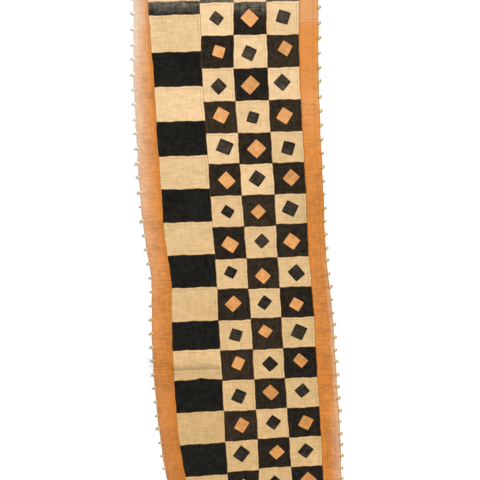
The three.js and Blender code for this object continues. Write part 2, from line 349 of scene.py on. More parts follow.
class RaffiaColours(bpy.types.PropertyGroup):
    """Colours of the dyed and undyed raffia, most of them painted paler at the top end as painted light."""

    # The top-end colours are painted light: the top end of the cloth is painted paler, as if it were lit
    # more brightly
    cream: colour("Cream", "Undyed raffia, lower end", (0.54, 0.344, 0.145))
    cream_pale: colour("Pale cream", "Undyed raffia, top end", (0.785, 0.545, 0.305))
    black: colour("Black", "Black raffia of the blocks", (0.0098, 0.0088, 0.007))
    # Painted light: the paler, hazed black that the top end of the dark patches is painted with
    black_pale: colour("Faded black", "Black raffia where it has faded", (0.125, 0.108, 0.08))
    brown_black: colour("Brown-black", "Brown-black raffia of the squares", (0.0295, 0.0185, 0.0095))
    dark_diamond: colour("Dark diamond", "Dark diamonds, lower end", (0.019, 0.0155, 0.0105))
    dark_diamond_pale: colour("Pale dark diamond", "Dark diamonds, top end", (0.048, 0.036, 0.0245))
    tan: colour("Tan", "Orange-tan diamonds, lower end", (0.565, 0.245, 0.071))
    tan_pale: colour("Pale tan", "Orange-tan diamonds, top end", (0.70, 0.335, 0.122))
    orange: colour("Orange", "Rust-orange borders, lower end", (0.475, 0.165, 0.034))
    orange_pale: colour("Pale orange", "Rust-orange borders, top end", (0.68, 0.265, 0.068))
    # Painted light on the borders' outer edges, and the colour of the paler topmost piece of the right
    # border
    bleached: colour("Bleached orange", "Borders where light has bleached them", (0.71, 0.53, 0.38))
    bobble: colour("Bobble", "Raffia of the bobbles", (0.60, 0.41, 0.16))
    # Painted light: the edging is painted paler at the upper left
    bobble_pale: colour("Bleached edging", "Edging where light has bleached it", (0.88, 0.82, 0.70))
    cord: colour("Edging cord", "Raffia of the cord that carries the bobbles", (0.58, 0.31, 0.11))
    strand: colour("Sewing strand", "Raffia strand that joins the patches", (0.30, 0.135, 0.045))
    saturated: colour("Strong orange", "Borders where the dye has stayed strong", (0.62, 0.20, 0.026))
    yellowed: colour("Yellowed cream", "Undyed raffia of the yellower patches", (0.60, 0.40, 0.17))
    # Painted shadow: the loose fibres are grey, standing in part for the shadows that they cast on the
    # floor
    frayed: colour("Frayed fibre", "Loose fibres at the edge", (0.66, 0.63, 0.60))
    floor: colour("Floor", "Pale floor under the cloth", (0.9, 0.9, 0.9))


# Node trees


def sum_method(operation, turned=False):
    """A method that works out a value and another number with a Math node, or the two turned round."""

    def method(self, other):
        return self.graph.math(operation, *((other, self) if turned else (self, other)))

    return method


class Value:
    """A number that varies over a surface, held as a socket. Sums on it add Math nodes."""

    def __init__(self, graph, socket):
        self.graph, self.socket = graph, socket

    __add__, __radd__ = sum_method("ADD"), sum_method("ADD", True)
    __sub__, __rsub__ = sum_method("SUBTRACT"), sum_method("SUBTRACT", True)
    __mul__, __rmul__ = sum_method("MULTIPLY"), sum_method("MULTIPLY", True)
    __truediv__, __rtruediv__ = sum_method("DIVIDE"), sum_method("DIVIDE", True)


class Graph:
    """A node tree that is being built."""

    def __init__(self, tree):
        self.tree = tree

    def node(self, kind, settings=None, values=None):
        """A node of one kind: its settings first, then the values or links of its sockets."""
        made = self.tree.nodes.new(kind)
        for key, value in (settings or {}).items():
            setattr(made, key, value)
        for key, value in (values or {}).items():
            self.feed(made.inputs[key], value)
        return made

    def out(self, kind, settings=None, values=None):
        """The first output of a new node."""
        return self.node(kind, settings, values).outputs[0]

    def feed(self, socket, value):
        """Links a socket to another, or sets its own value."""
        if isinstance(value, Value):
            value = value.socket
        if isinstance(value, bpy.types.NodeSocket):
            self.tree.links.new(value, socket)
        else:
            socket.default_value = value

    def math(self, operation, *values):
        """A Math node on numbers."""
        return Value(self, self.out("ShaderNodeMath", {"operation": operation}, dict(enumerate(values))))

    def clamp(self, value):
        """A number held between 0 and 1."""
        return Value(self, self.out("ShaderNodeClamp", values={0: value}))

    def mix(self, share, first, second):
        """A colour between two others."""
        values = {0: share, 6: first, 7: second}
        return self.node("ShaderNodeMix", {"data_type": "RGBA"}, values).outputs[2]

    def scale(self, vector, factor):
        """A colour or vector times a number."""
        values = {0: vector[:3] if isinstance(vector, tuple) else vector, 3: factor}
        return self.out("ShaderNodeVectorMath", {"operation": "SCALE"}, values)

    def combine(self, x, y, z):
        """A vector from three numbers."""
        return self.out("ShaderNodeCombineXYZ", values={0: x, 1: y, 2: z})

    def split(self, vector):
        """The three numbers of a vector."""
        made = self.node("ShaderNodeSeparateXYZ", values={0: vector})
        return [Value(self, socket) for socket in made.outputs]

    def attribute(self, name):
        """A number stored on the mesh."""
        return Value(self, self.node("ShaderNodeAttribute", {"attribute_name": name}).outputs[2])

    def noise(self, vector, detail=2.0, roughness=0.55):
        """Noise between about -1 and 1."""
        values = {"Vector": vector, "Scale": 1.0, "Detail": detail, "Roughness": roughness}
        return (Value(self, self.out("ShaderNodeTexNoise", values=values)) - 0.5) * 2.0

    def bump(self, strength, distance, height, under=None):
        """A normal with relief on it, on top of another where one is given."""
        values = {"Strength": strength, "Distance": distance, "Height": height}
        if under is not None:
            values["Normal"] = under
        return self.out("ShaderNodeBump", values=values)


def new_material(name):
    """A material with an empty tree, and the graph that fills it."""
    material = bpy.data.materials.new(name)
    material.use_nodes = True
    material.node_tree.nodes.clear()
    return material, Graph(material.node_tree)


def finish_material(graph, base, normal, roughness, gloss):
    """Puts the surface shader and the output on a graph."""
    values = {"Base Color": base, "Roughness": roughness, "Specular IOR Level": gloss, "Normal": normal}
    graph.node("ShaderNodeOutputMaterial", values={0: graph.out("ShaderNodeBsdfPrincipled", values=values)})


def rgba(three):
    """A colour setting as four numbers."""
    return (*three, 1.0)


STRAND_RUN = 50 * MM  # a strand keeps its colour over this distance
STREAK, STREAK_RUN = 6 * MM, 55 * MM  # width of a streak, and the length of one that runs across
SWAY, SWAY_RUN = 4 * MM, 30 * MM  # how far a streak strays, and over which distance
BLOTCH, BROAD, HEM_SHADE_PATCH = 18 * MM, 80 * MM, 25 * MM  # size of blotches, broad shades and the patches over which the painted hem shade comes and goes
HALF_LENGTH = 0.98  # the colour is painted paler, as painted light, from this far below the cloth's middle to as far above
DARKEST = 0.15  # the least that unevenness leaves of the dye's brightness


def raffia_cloth(name, dyes, sizes, look):
    """Plain woven raffia that follows the weave map of its piece.

    dyes are the colours at the lower end, at the top end (paler there as painted light), where painted
    light and bleaching pale it further, and of the other batch.
    look gives the strengths that LOOK lists.
    """
    material, graph = new_material(name)
    u, v, _ = graph.split(graph.out("ShaderNodeUVMap", {"uv_map": "weave"}))
    _, along, _ = graph.split(graph.node("ShaderNodeTexCoord").outputs["Object"])
    rim, tone, bleach, stain = [graph.attribute(key) for key in ClothMesh.NUMBERS]

    def vary(across, up, start, *detail):
        """Noise over the cloth, each start with a pattern of its own."""
        return graph.noise(graph.combine(across, up, start), *detail)

    turn = math.pi / sizes.weave
    lift = graph.math("COSINE", u * turn) * graph.math("COSINE", v * turn)
    upright = graph.clamp(lift * 4.0 + 0.5)
    warp = vary(u / sizes.weave, v / STRAND_RUN, 1.7)
    weft = vary(u / STRAND_RUN, v / sizes.weave, 5.3)
    sway_u = u + vary(u / SWAY_RUN, v / SWAY_RUN, 3.3) * SWAY
    sway_v = v + vary(u / SWAY_RUN, v / SWAY_RUN, 7.3) * SWAY
    hem_shade_patchy = graph.clamp(0.6 + vary(u / HEM_SHADE_PATCH, v / HEM_SHADE_PATCH, 6.6) * 1.4)
    past_hem = (rim - sizes.hem_wide + 0.4 * MM) / (1.1 * MM)
    marks = {
        "strands": upright * warp + (1.0 - upright) * weft,
        "up": vary(sway_u / STREAK, v / STRAND_RUN, 9.1, 3.0, 0.7),
        "across": vary(u / STREAK_RUN, sway_v / STREAK, 2.9, 3.0, 0.7),
        "blotches": vary(u / BLOTCH, v / BLOTCH, 4.4, 4.0, 0.7),
        "broad": vary(u / BROAD, v / BROAD, 8.8),
        "tone": tone,
        "hem_band": graph.clamp((sizes.hem_wide - rim) / (1.5 * MM)),
        # Painted shade along the line where a hem ends, patchy
        "hem_line": graph.math("EXPONENT", past_hem * past_hem * -1.0) * hem_shade_patchy,
        # Painted shade, with dirt, in the gap at the rim of every piece
        "groove": graph.clamp(1.0 - rim / (1.3 * MM)),
        # Spots, and painted shade along the fold line and the borders' joins
        "stain": stain,
    }
    shade = 1.0
    for key, mark in marks.items():
        shade = shade + mark * look[key]

    up, across, broad = marks["up"], marks["across"], marks["broad"]
    mottle = marks["blotches"] * 0.6 + up * 0.5 + across * 0.7 + broad * 0.6
    # Painted light: the colour is paler towards the top end, unevenly by place and by patch
    height = (along + HALF_LENGTH) / (2 * HALF_LENGTH) + mottle * look["dye"] + tone * look["fade"]
    batch = look["batch_share"] - tone * 0.6 + broad * 0.5 + mottle * look["batch_uneven"]
    deep, pale, light_and_bleach_dye, other = [rgba(dye) for dye in dyes]
    dyed = graph.mix(graph.clamp(height), deep, pale)
    dyed = graph.mix(graph.clamp(batch) * look["batch"], dyed, other)
    # Spots and painted shade also turn the colour towards the other batch
    dyed = graph.mix(graph.clamp(stain * 0.45), dyed, other)
    # Painted light at the top end and the borders' edges, and the paler top piece of the right border
    dyed = graph.mix(graph.clamp(bleach * (1.0 + mottle * 0.5)), dyed, light_and_bleach_dye)
    base = graph.scale(dyed, graph.math("MAXIMUM", shade, DARKEST))

    relief = graph.math("ABSOLUTE", lift) * 0.75 + (warp + weft) * 0.12
    woven = graph.bump(look["bump"], 0.35 * MM, relief)
    normal = graph.bump(0.4, 0.6 * MM, up * 0.5 + across * 0.5, woven)
    rough = graph.clamp(look["rough"] - marks["strands"] * 0.06)
    finish_material(graph, base, normal, rough, look["gloss"])
    return material


def raffia_strand(name, tint, bleached=None):
    """A single strand of raffia, as in stitches, bobbles and loose fibres, painted paler at the upper left
    as painted light.
    """
    material, graph = new_material(name)
    place = graph.node("ShaderNodeTexCoord").outputs["Object"]
    fine = graph.noise(graph.scale(place, 900.0))
    broad = graph.noise(graph.scale(place, 60.0))
    base = graph.scale(rgba(tint), 1.0 + fine * 0.28 + broad * 0.22)
    if bleached:
        x, y, _ = graph.split(place)
        # Painted light at the upper left of the cloth
        upper_left = graph.clamp(x * -50.0) * graph.clamp((y + 0.1) * 1.3)
        base = graph.mix(upper_left, base, rgba(bleached))
    finish_material(graph, base, graph.bump(0.5, 0.15 * MM, fine), 0.75, 0.2)
    return material


LOOK = {
    # How far the brightness varies by strand, by streak, by blotch, over a distance and from patch to patch
    "strands": 0.15, "up": 0.2, "across": 0.2, "blotches": 0.16, "broad": 0.04, "tone": 0.025,
    # How far the hem, its painted line of shade, painted shade with dirt in the gap at the rim, and the
    # spots with the painted shade of the fold and the joins brighten or darken
    "hem_band": 0.035, "hem_line": -0.11, "groove": -0.5, "stain": -0.2,
    # How unevenly, by place and by patch, painted light makes the colour paler towards the top end, and how
    # much there is of the other batch of dye
    "dye": 0.35, "fade": 0.1, "batch": 0.2, "batch_share": 0.5, "batch_uneven": 0.3,
    "bump": 0.7, "rough": 0.85, "gloss": 0.12,
}
DARK_LOOK = {
    **LOOK,
    "strands": 0.8, "up": 1.05, "across": 1.0, "blotches": 1.2, "broad": 0.35, "tone": 0.16,
    "hem_band": -0.1, "hem_line": -0.12, "batch": 0.7, "gloss": 0.1,
}
BORDER_LOOK = {
    **LOOK,
    "up": 0.09, "across": 0.2, "blotches": 0.1, "broad": 0.07,
    "hem_band": 0.0, "hem_line": -0.02, "groove": -0.3,
    "dye": 1.0, "fade": 0.15, "batch": 0.85, "batch_share": 0.12, "batch_uneven": 1.1,
}
DIAMOND_LOOK = {
    **LOOK,
    "up": 0.3, "across": 0.3, "blotches": 0.32, "tone": 0.07,
    "hem_band": 0.06, "hem_line": -0.05, "dye": 0.6, "batch": 0.0,
}
DARK_DIAMOND_LOOK = {
    **DARK_LOOK,
    "tone": 0.3, "dye": 0.4, "batch": 0.0, "hem_band": -0.4, "hem_line": -0.05,
}
# Each cloth's colours at the lower end, at the top end where painted light makes them paler, where painted
# light and bleaching pale them further, and of the other batch
CLOTHS = {
    "cream_cloth": (("cream", "cream_pale", "cream_pale", "yellowed"), LOOK),
    "black_cloth": (("black", "black", "black_pale", "black"), DARK_LOOK),
    "brown_black_cloth": (("brown_black", "brown_black", "black_pale", "black"), DARK_LOOK),
    "dark_diamond_cloth": (
        ("dark_diamond", "dark_diamond_pale", "black_pale", "black"),
        DARK_DIAMOND_LOOK,
    ),
    "tan_cloth": (("tan", "tan_pale", "tan_pale", "tan"), DIAMOND_LOOK),
    "orange_cloth": (("orange", "orange_pale", "bleached", "saturated"), BORDER_LOOK),
}
# Each strand's colour, and the paler colour that painted light gives it at the upper left
STRANDS = {
    "bobble_strand": ("bobble", "bobble_pale"),
    "cord_strand": ("cord", "bobble_pale"),
    "seam_strand": ("strand",),
    "cream_strand": ("cream",),
    "black_strand": ("brown_black",),
    "tan_strand": ("tan",),
    "orange_strand": ("orange",),
    "fibre_strand": ("frayed",),
}


def get_material(key):
    """One of the cloth's materials, made the first time that it is asked for."""
    if key in bpy.data.materials:
        return bpy.data.materials[key]
    scene = bpy.context.scene
    dyes, look = CLOTHS.get(key) or (STRANDS[key], None)
    tints = [getattr(scene.raffia_colours, dye) for dye in dyes]
    return raffia_cloth(key, tints, scene.raffia_sizes, look) if look else raffia_strand(key, *tints)


# Cloth meshes


def noise_over(x, y, pitch, start):
    """Noise at many places, with a pitch in turns a metre and a start that gives it its pattern."""
    spots = [noise.noise(Vector((a * pitch, b * pitch, start))) for a, b in zip(np.ravel(x), np.ravel(y))]
    return np.reshape(spots, np.shape(x))


def ruck(x, y):
    """The soft unevenness of the cloth, between 0 and about 1."""
    broad, middle, fine = noise_over(x, y, 8, 0.3), noise_over(x, y, 24, 4.1), noise_over(x, y, 90, 7.7)
    return np.maximum(0, 0.35 + 0.8 * broad + 0.4 * middle + 0.07 * fine)


BORDER_WIDE = 60 * MM  # width of a border, over which its outer edge is painted paler as painted light
FOLD_BELOW = 7.5 * MM  # the fold line lies this far below the ridge of the solids
FOLD_STEP = 16 * MM  # and runs on this much higher in the border
FOLD_ROUND = 14 * MM  # the cloth rises from the fold line over this distance
FOLD_REACH = 66 * MM  # and has sunk again at about this distance


def above_fold(x, y):
    """How far a place lies above the fold line, and how much the fold still counts there."""
    border = eased((LAYOUT.long_seams[BLOCKS](y) - x) / (25 * MM))
    away = y - (LAYOUT.crease(x) - FOLD_BELOW + FOLD_STEP * border)
    inside = eased((LAYOUT.long_seams[SQUARES[0]](y) - x) / (14 * MM))
    return away, inside * (1 - 0.45 * border)


def lie(x, y, sizes):
    """Height of the underside of the cloth as it lies, lifted above the fold line across the blocks."""
    away, inside = above_fold(x, y)
    up = np.maximum(away, 0)
    fold = (1 - np.exp(-up / FOLD_ROUND)) * np.exp(-((up / FOLD_REACH) ** 2)) * inside
    return sizes.unevenness * ruck(x, y) * (1 - 0.6 * fold) + sizes.crease_high * fold


def eased(t):
    """0 to 1 with soft ends."""
    t = np.clip(t, 0, 1)
    return t * t * (3 - 2 * t)


ROUNDED = 1.4 * MM  # a turned edge is round over this width
HEM_FALL = 1.5 * MM  # a hem falls to the single layer over this width
PLUMP = 0.14 * MM  # how much fuller a hem is halfway across
PULL, PULL_WIDE = 0.28 * MM, 0.7 * MM  # depth and width of the groove that the sewing pulls


def edge_round(rim):
    """How far the rounded turned edge has risen, from 0 at the very edge to 1."""
    return np.sqrt(1 - (1 - np.clip(rim / ROUNDED, 0, 1)) ** 2)


def hemmed(rim, hem_wide, sizes):
    """Thickness of a hemmed patch at a distance from its edge."""
    lifted = 1 - eased((rim - hem_wide + 0.6 * MM) / HEM_FALL)
    plump = PLUMP * np.sin(np.pi * np.clip(rim / hem_wide, 0, 1))
    pulled = PULL * bell(rim - hem_wide + 0.5 * MM, PULL_WIDE)
    return sizes.layer + sizes.hem_lift * lifted + plump - pulled


def bell(away, wide):
    """1 where away is 0, sinking to nothing on both sides."""
    return np.exp(-((away / wide) ** 2))


RIM_LINES = (0, 0.3, 0.8, 1.5, 3.2, 5.6)  # mesh lines near an edge, in mm from it
HEM_LINES = (-1.3, -0.5, 0.2, 1, 2.6)  # mesh lines where a hem ends, in mm past its width


def lines_near(hem_wide, *between):
    """Distances of the mesh lines from an edge to just past its hem, closest where the cloth turns."""
    return [k * MM for k in (*RIM_LINES, *between)] + [hem_wide + k * MM for k in HEM_LINES]


def two_faces(x, y, rim, thick, pucker, sizes):
    """Heights of the underside and of the face of a piece as it lies, both rounded off at its rim."""
    floor, risen = lie(x, y, sizes), edge_round(rim)
    high = floor + thick * (0.5 + 0.5 * risen) + pucker * risen
    return floor + thick * 0.38 * (1 - risen), high


class ClothMesh:
    """Closed thin pieces of cloth gathered in one mesh, with their weave map and surface numbers."""

    NUMBERS = ("rim", "tone", "bleach", "stain")

    def __init__(self):
        self.points, self.faces, self.weave = [], [], []
        self.numbers = {name: [] for name in self.NUMBERS}
        self.count = 0
        self.area = 0.0

    def add(self, x, y, low, high, weave, **numbers):
        """One piece on a grid: rows run down the cloth, and columns to the right."""
        rows, columns = x.shape
        size = rows * columns
        index = np.arange(size).reshape(rows, columns) + self.count
        a, b = index[:-1, :-1], index[1:, :-1]
        c, d = index[1:, 1:], index[:-1, 1:]
        face = np.stack([a, b, c, d], -1).reshape(-1, 4)
        rim = np.concatenate([index[0, ::-1], index[1:, 0], index[-1, 1:], index[-2:0:-1, -1]])
        after = np.roll(rim, -1)
        wall = np.stack([rim, rim + size, after + size, after], -1)
        self.points += [np.stack([x, y, high], -1).reshape(-1, 3), np.stack([x, y, low], -1).reshape(-1, 3)]
        self.faces += [face, face[:, ::-1] + size, wall]
        self.weave += [weave, weave]
        for name in self.NUMBERS:
            value = np.broadcast_to(numbers.get(name, 0.0), x.shape).ravel()
            self.numbers[name] += [value, value]
        self.count += 2 * size
        edge = np.stack([x, y], -1)
        one, two = edge[1:, 1:] - edge[:-1, :-1], edge[1:, :-1] - edge[:-1, 1:]
        self.area += float(np.abs(one[..., 0] * two[..., 1] - one[..., 1] * two[..., 0]).sum() / 2)

    def build(self, name, material):
        """The mesh as an object."""
        mesh = bpy.data.meshes.new(name)
        mesh.from_pydata(np.concatenate(self.points).tolist(), [], np.concatenate(self.faces).tolist())
        corner = np.empty(len(mesh.loops), np.int64)
        mesh.loops.foreach_get("vertex_index", corner)
        weave = mesh.uv_layers.new(name="weave")
        weave.data.foreach_set("uv", np.concatenate(self.weave)[corner].ravel())
        for key, values in self.numbers.items():
            layer = mesh.attributes.new(key, "FLOAT", "POINT")
            layer.data.foreach_set("value", np.concatenate(values).astype(np.float32))
        mesh.polygons.foreach_set("use_smooth", [True] * len(mesh.polygons))
        mesh.materials.append(get_material(material))
        mesh.update()
        return link(name, mesh)


def link(name, data):
    """A new object in the scene."""
    made = bpy.data.objects.new(name, data)
    bpy.context.scene.collection.objects.link(made)
    return made


def weave_map(sides, draw):
    """Places on the cloth in metres, which start at a different strand on each piece."""
    from_left, _, from_top, _ = sides
    spread = 3  # metres, so that no two pieces show the same pattern
    u, v = from_left + draw.uniform(0, spread), draw.uniform(0, spread) - from_top
    return np.stack([u, v], -1).reshape(-1, 2)


STAINS = (
    # x and y from the cloth's middle, size and strength of darker spots, lighter where the strength is
    # below 0
    (-0.2425, 0.7503, 0.0046, 1.0),
    (-0.1690, 0.7560, 0.0032, 0.7),
    (-0.196, 0.738, 0.006, 0.35),
    (-0.150, -0.598, 0.012, 0.55),
    (-0.126, -0.585, 0.009, 0.45),
    (-0.205, -0.607, 0.016, 0.3),
    (-0.178, -0.628, 0.014, 0.3),
    (0.262, 0.10, 0.11, 0.5),
    (0.315, -0.47, 0.05, 0.6),
    # A lighter spot on the right border: painted light
    (0.25, 0.50, 0.055, -0.5),
)


def stain_and_shade_at(x, y):
    """How much darker the cloth is painted at a place: by spots, and by painted shade along the fold line.
    """
    marks = sum(high * np.exp(-(((x - a) ** 2 + (y - b) ** 2) / size**2)) for a, b, size, high in STAINS)
    # Painted shade along the fold line, fading over the slope above it, with a fainter band below it
    away, inside = above_fold(x, y)
    above = 1.4 * np.exp(-((np.maximum(away, 0) / (19 * MM)) ** 1.5))
    below = np.maximum(0.5 * eased((away + 60 * MM) / (20 * MM)), bell(away, 3 * MM))
    return marks + inside * np.where(away > 0, above, below)


def add_patch(mesh, patch, sizes, draw):
    """One hemmed patch, laid on the floor."""
    near = lines_near(sizes.hem_wide)
    width, length = patch.size()
    across, down = [steps_between(near, near, whole, sizes.grid) for whole in (width, length)]
    if patch.left is LAYOUT.long_seams[BLOCKS]:
        x, y, _ = patch.place((np.zeros(1), np.full(1, 0.5)), down)
        down = closer_at_fold(down, above_fold(x, y)[0].ravel(), length)
    x, y, sides = patch.place(across, down)
    rim = np.minimum.reduce(sides)
    pucker = noise_over(x, y, 170, 2.2) * 0.22 * MM * np.exp(-rim / (8 * MM))
    faces = two_faces(x, y, rim, hemmed(rim, sizes.hem_wide, sizes), pucker, sizes)
    tone = draw.uniform(-1, 1)
    numbers = {"rim": rim, "tone": tone, "bleach": light_and_bleach_at(x, y), "stain": stain_and_shade_at(x, y)}
    mesh.add(x, y, *faces, weave_map(sides, draw), **numbers)


FOLD_LINES = np.arange(-14, 8.1, 1.5) * MM  # closer mesh lines, from above the fold line to below it


def closer_at_fold(down, away, length):
    """Adds mesh lines where the fold line passes."""
    fixed, share = down
    place = fixed + share * length
    if away.min() > 0 or away.max() < 0:
        return down
    clear, apart = 22 * MM, 0.6 * MM  # from the patch's two ends, and from the lines that are there
    extra = float(np.interp(0, away[::-1], place[::-1])) + FOLD_LINES
    extra = extra[(extra > clear) & (extra < length - clear)]
    keep = np.array([s in (0, 1) or min(abs(extra - p)) > apart for p, s in zip(place, share)])
    fixed = np.concatenate([fixed[keep], extra * 0])
    share = np.concatenate([share[keep], extra / length])
    order = np.argsort(fixed + share * length)
    return fixed[order], share[order]


def light_and_bleach_at(x, y):
    """How far the cloth is painted paler: painted light, as a haze, at the top end of the dark patches and
    along the borders' edges, and the paler topmost piece of the right border.
    """
    seams = LAYOUT.long_seams
    from_left, from_right = x - seams[0](y), seams[-1](y) - x
    # Painted haze of light at the top end between the borders, and more of it in the squares
    top = 1.1 * np.clip((y - 0.79) / 0.065, 0, 1.15) ** 2
    top = top * (x > seams[BLOCKS](y)) * (x < seams[-2](y)) * (1 + 0.45 * (x > seams[SQUARES[0]](y)))
    # Painted light on the left border from its outer edge inwards, less and less down the cloth
    upward = 0.08 + 0.92 * np.clip((y + 0.2) / 0.98, 0, 1) ** 0.9
    upper_left = 1.08 * np.clip(1 - from_left / BORDER_WIDE, 0, 1) ** 1.2 * upward
    # Painted light on a narrow stretch at the right edge of the lower half, wider at the end
    wide = 0.022 + 0.022 * eased((-0.5 - y) / 0.2)
    lower_right = 0.42 * eased(1 - from_right / wide) * eased((0.05 - y) / 0.4)
    # The right border's paler topmost piece, and a faint patch of painted light below it
    right_border = eased(1 - (from_right - BORDER_WIDE) / 0.01)
    upper_right = right_border * (0.18 * eased((y - 0.77) / 0.02) + 0.06 * bell(y - 0.50, 0.07))
    return np.maximum.reduce([top, upper_left, lower_right, upper_right])


def stand_for(piece, nodes):
    """A finished piece rides on the cloth's body and stands for its solids, which are hidden."""
    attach(piece, "root")
    if nodes:
        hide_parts(*nodes)
    return piece


# Sewing, made by Geometry Nodes


class Lines:
    """Sewing lines gathered as the edges of one mesh, for a tree to follow."""

    def __init__(self):
        self.points, self.edges = [], []

    def add(self, x, y, z):
        """One line through points."""
        first = len(self.points)
        self.points += np.stack([x, y, z], -1).tolist()
        self.edges += [(first + i, first + i + 1) for i in range(len(x) - 1)]

    def build(self, name):
        """The lines as an object."""
        mesh = bpy.data.meshes.new(name)
        mesh.from_pydata(self.points, self.edges, [])
        return link(name, mesh)


def new_tree(name, inputs):
    """A Geometry Nodes tree with named inputs: its graph, its input node and its inputs' identifiers."""
    tree = bpy.data.node_groups.new(name, "GeometryNodeTree")
    identifiers = {}
    for label, kind in {"Geometry": "Geometry", **inputs}.items():
        socket = tree.interface.new_socket(label, in_out="INPUT", socket_type=f"NodeSocket{kind}")
        identifiers[label] = socket.identifier
    tree.interface.new_socket("Geometry", in_out="OUTPUT", socket_type="NodeSocketGeometry")
    graph = Graph(tree)
    return graph, graph.node("NodeGroupInput").outputs, identifiers


def end_tree(graph, geometry, material):
    """Ends a tree in real, smooth geometry with its material."""
    real = graph.out("GeometryNodeRealizeInstances", values={0: geometry})
    smooth = graph.out("GeometryNodeSetShadeSmooth", values={0: real})
    painted = graph.out("GeometryNodeSetMaterial", values={0: smooth, "Material": material})
    graph.node("NodeGroupOutput", values={0: painted})


def random_number(graph, low, high, seed):
    """A random number for each instance."""
    values = {2: low, 3: high, "Seed": seed}
    return Value(graph, graph.node("FunctionNodeRandomValue", {"data_type": "FLOAT"}, values).outputs[1])


def tube(graph, line, radius, sides):
    """A closed tube along a curve."""
    values = {"Resolution": sides, "Radius": radius}
    ring = graph.out("GeometryNodeCurvePrimitiveCircle", values=values)
    return graph.out("GeometryNodeCurveToMesh", values={0: line, 1: ring, "Fill Caps": True})


def bent_strand(graph, start, middle, end, radius, steps, sides):
    """A short bent strand as a closed tube."""
    values = {"Resolution": steps, "Start": start, "Middle": middle, "End": end}
    return tube(graph, graph.out("GeometryNodeCurveQuadraticBezier", values=values), radius, sides)


def even_curve(graph, given):
    """The tree's own lines as curves with points at an even spacing."""
    line = graph.out("GeometryNodeMeshToCurve", values={0: given["Geometry"]})
    values = {"Curve": line, "Length": given["Spacing"]}
    return graph.out("GeometryNodeResampleCurve", {"mode": "LENGTH"}, values)


def turned_by(graph, x, y, z):
    """A rotation from three angles."""
    return graph.out("FunctionNodeEulerToRotation", values={0: graph.combine(x, y, z)})


def set_on(graph, points, instance, rotation, size):
    """An instance on each point. size is its three scales."""
    values = {"Points": points, "Instance": instance, "Rotation": rotation, "Scale": graph.combine(*size)}
    return graph.out("GeometryNodeInstanceOnPoints", values=values)


def stitch_tree():
    """A tree that sets stitches along lines, turned across them or along them."""
    numbers = dict.fromkeys(("Spacing", "Length", "Strand radius", "Rise", "Turn", "Stray"), "Float")
    inputs = {**numbers, "Seed": "Int", "Material": "Material"}
    graph, given, identifiers = new_tree("sewing_stitches", inputs)
    half = Value(graph, given["Length"]) * 0.5
    rise = Value(graph, given["Rise"])
    start = graph.combine(half * -1.0, 0.0, rise * -0.5)
    middle = graph.combine(0.0, 0.0, rise * 1.5)
    end = graph.combine(half, 0.0, rise * -0.5)
    stitch = bent_strand(graph, start, middle, end, given["Strand radius"], 3, 4)

    values = {"Vector": graph.out("GeometryNodeInputTangent")}
    settings = {"axis": "X", "pivot_axis": "Z"}
    heading = graph.out("FunctionNodeAlignRotationToVector", settings, values)
    stray = random_number(graph, -1.0, 1.0, given["Seed"]) * Value(graph, given["Stray"])
    spin = turned_by(graph, 0.0, 0.0, Value(graph, given["Turn"]) + stray)
    values = {"Rotation": heading, "Rotate By": spin}
    turned = graph.out("FunctionNodeRotateRotation", {"rotation_space": "LOCAL"}, values)
    size = random_number(graph, 0.8, 1.2, Value(graph, given["Seed"]) + 1.0)
    stitches = set_on(graph, even_curve(graph, given), stitch, turned, (size, 1.0, 1.0))
    end_tree(graph, stitches, given["Material"])
    return graph.tree, identifiers


def bobble_tree():
    """A tree that sets a knotted tuft of raffia on each point, pointing out from the cloth.

    A bobble is made with a knot of radius 1, and scaled where it is set.
    """
    inputs = {"Radius": "Float", "Outward": "Float", "Seed": "Int", "Material": "Material"}
    graph, given, identifiers = new_tree("bobbles", inputs)

    def scaled(geometry, size):
        return graph.out("GeometryNodeTransform", values={0: geometry, "Scale": size})

    ball = graph.out("GeometryNodeMeshIcoSphere", values={"Radius": 1.0, "Subdivisions": 2})
    wraps = graph.noise(graph.scale(graph.out("GeometryNodeInputPosition"), 2.6))
    offset = graph.scale(graph.out("GeometryNodeInputNormal"), wraps * 0.3)
    wound = graph.out("GeometryNodeSetPosition", values={0: ball, "Offset": offset})
    knot = scaled(wound, (1.05, 1.45, 0.8))
    neck = bent_strand(graph, (-1.3, 0.0, -0.3), (-0.9, 0.1, -0.1), (-0.4, 0.0, 0.0), 0.6, 3, 6)

    fibre = bent_strand(graph, (0.1, 0.0, 0.0), (1.5, 0.1, 0.1), (2.2, 0.7, 0.0), 0.17, 4, 3)
    spots = graph.out("GeometryNodePoints", values={"Count": 24})
    spin, splay = random_number(graph, -1.2, 1.2, 11), random_number(graph, -0.5, 0.5, 12)
    turn = turned_by(graph, spin, splay, splay * 0.6 + random_number(graph, -0.3, 0.3, 13))
    longer = random_number(graph, 0.75, 1.25, 14)
    tuft = set_on(graph, spots, fibre, turn, (longer, longer, longer))
    tuft = scaled(graph.out("GeometryNodeRealizeInstances", values={0: tuft}), (1.0, 1.1, 0.55))

    join = graph.node("GeometryNodeJoinGeometry")
    for part in (knot, neck, tuft):
        graph.tree.links.new(part, join.inputs[0])
    facing = (1.0 - Value(graph, given["Outward"])) * (math.pi / 2)
    seed = Value(graph, given["Seed"])
    swing = random_number(graph, -0.35, 0.35, seed + 1.0)
    turn = turned_by(graph, random_number(graph, -0.3, 0.3, seed), 0.0, facing + swing)
    size = Value(graph, given["Radius"]) * random_number(graph, 0.8, 1.15, seed + 2.0)
    bobbles = set_on(graph, given["Geometry"], join.outputs[0], turn, (size, size, size))
    end_tree(graph, bobbles, given["Material"])
    return graph.tree, identifiers


